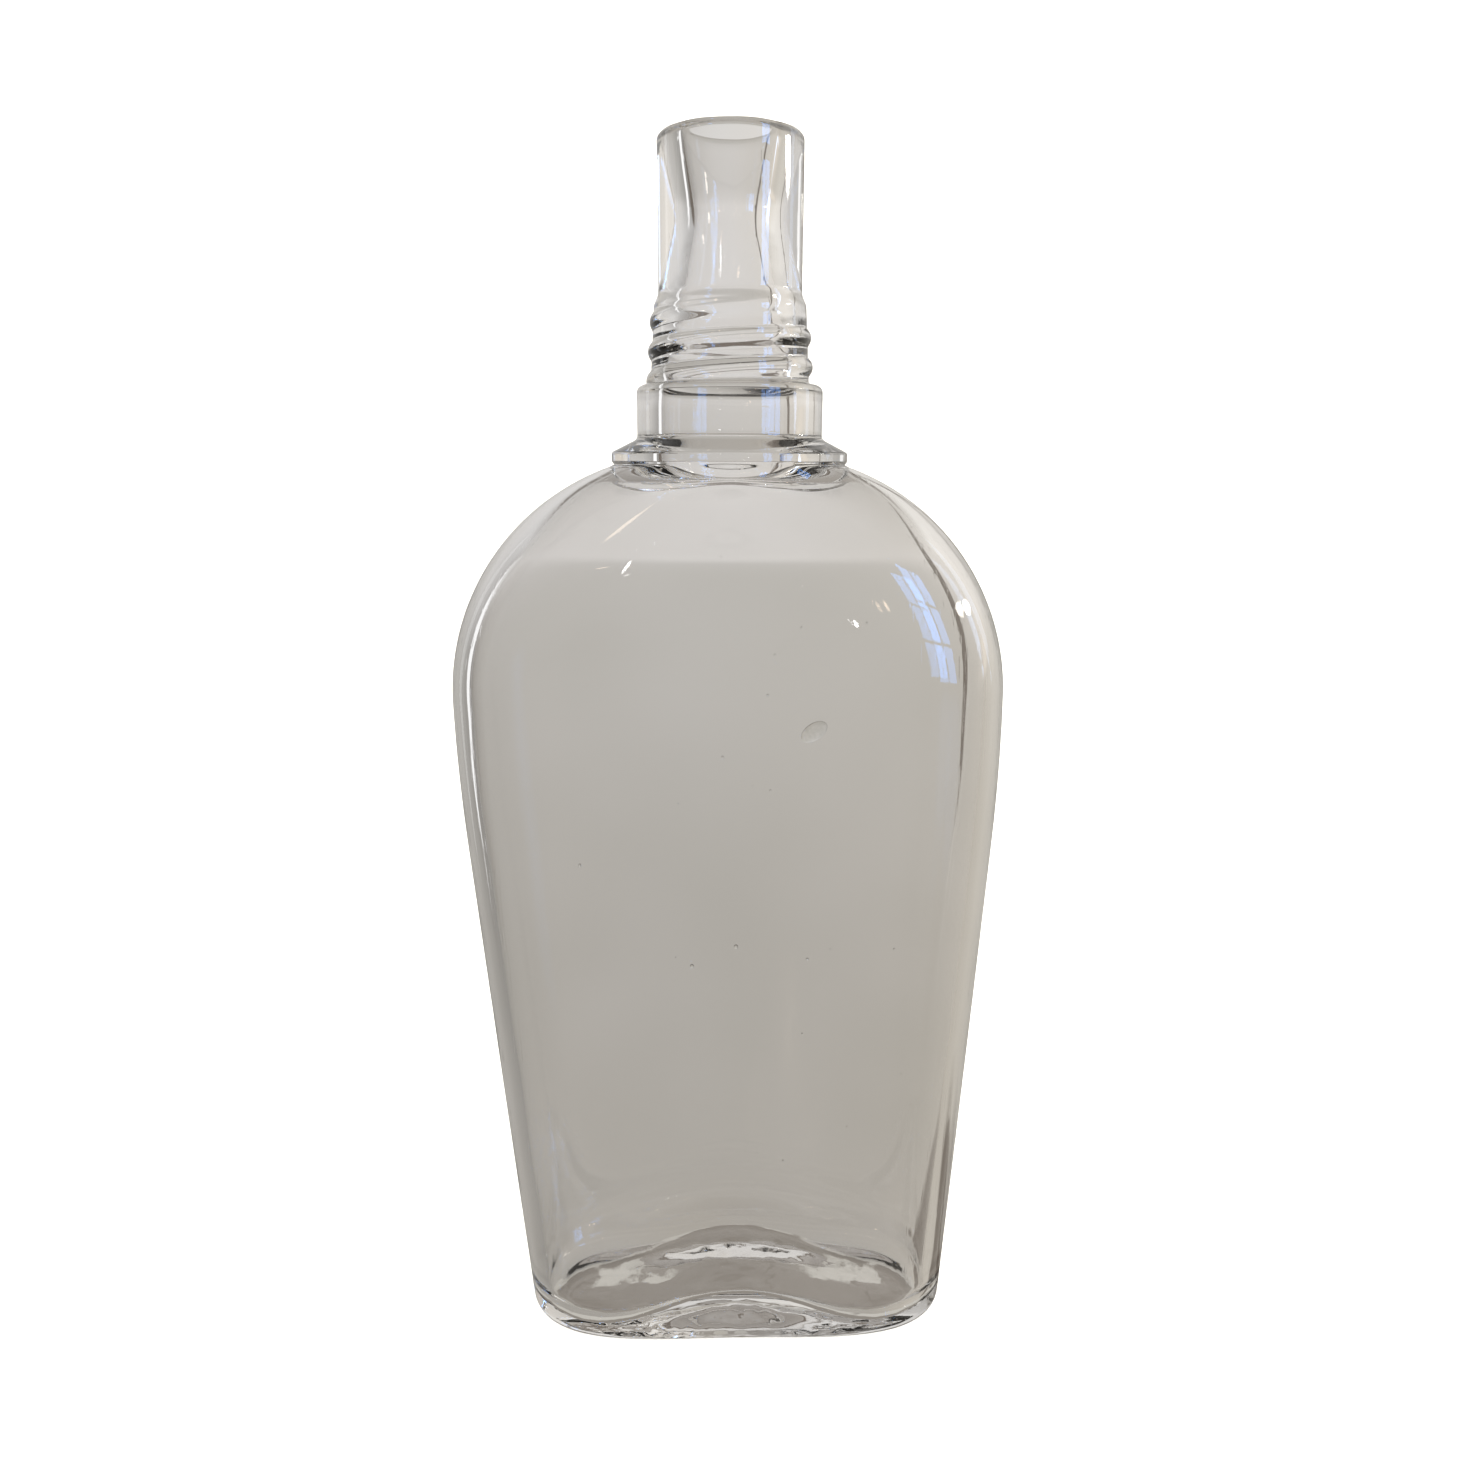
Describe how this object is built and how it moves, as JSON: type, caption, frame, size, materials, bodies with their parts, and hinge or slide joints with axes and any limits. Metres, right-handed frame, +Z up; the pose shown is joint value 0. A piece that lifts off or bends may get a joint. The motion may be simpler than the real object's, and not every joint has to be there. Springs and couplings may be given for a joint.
{
  "type": "glass flask",
  "caption": "Clear flattened glass flask with rounded shoulders, a ring flange, a raised screw thread and a plain mouth tube; holds liquid and stands on its foot.",
  "frame": {"origin": "middle of the foot, at the level the flask stands on", "axes": "+Z up along the neck, +X across the wide side of the body, -Y out of the front face"},
  "size_m": [0.091, 0.0374, 0.2],
  "materials": {
    "glass": "clear moulded soda-lime glass with fire-polished faces, slight waviness and a few seeds"
  },
  "bodies": {
    "root": {"base": "glass", "body": "glass", "shoulder": "glass", "shoulder_flange": "glass", "neck_skirt": "glass", "threaded_neck": "glass", "mouth_tube": "glass"}
  },
  "joints": []
}
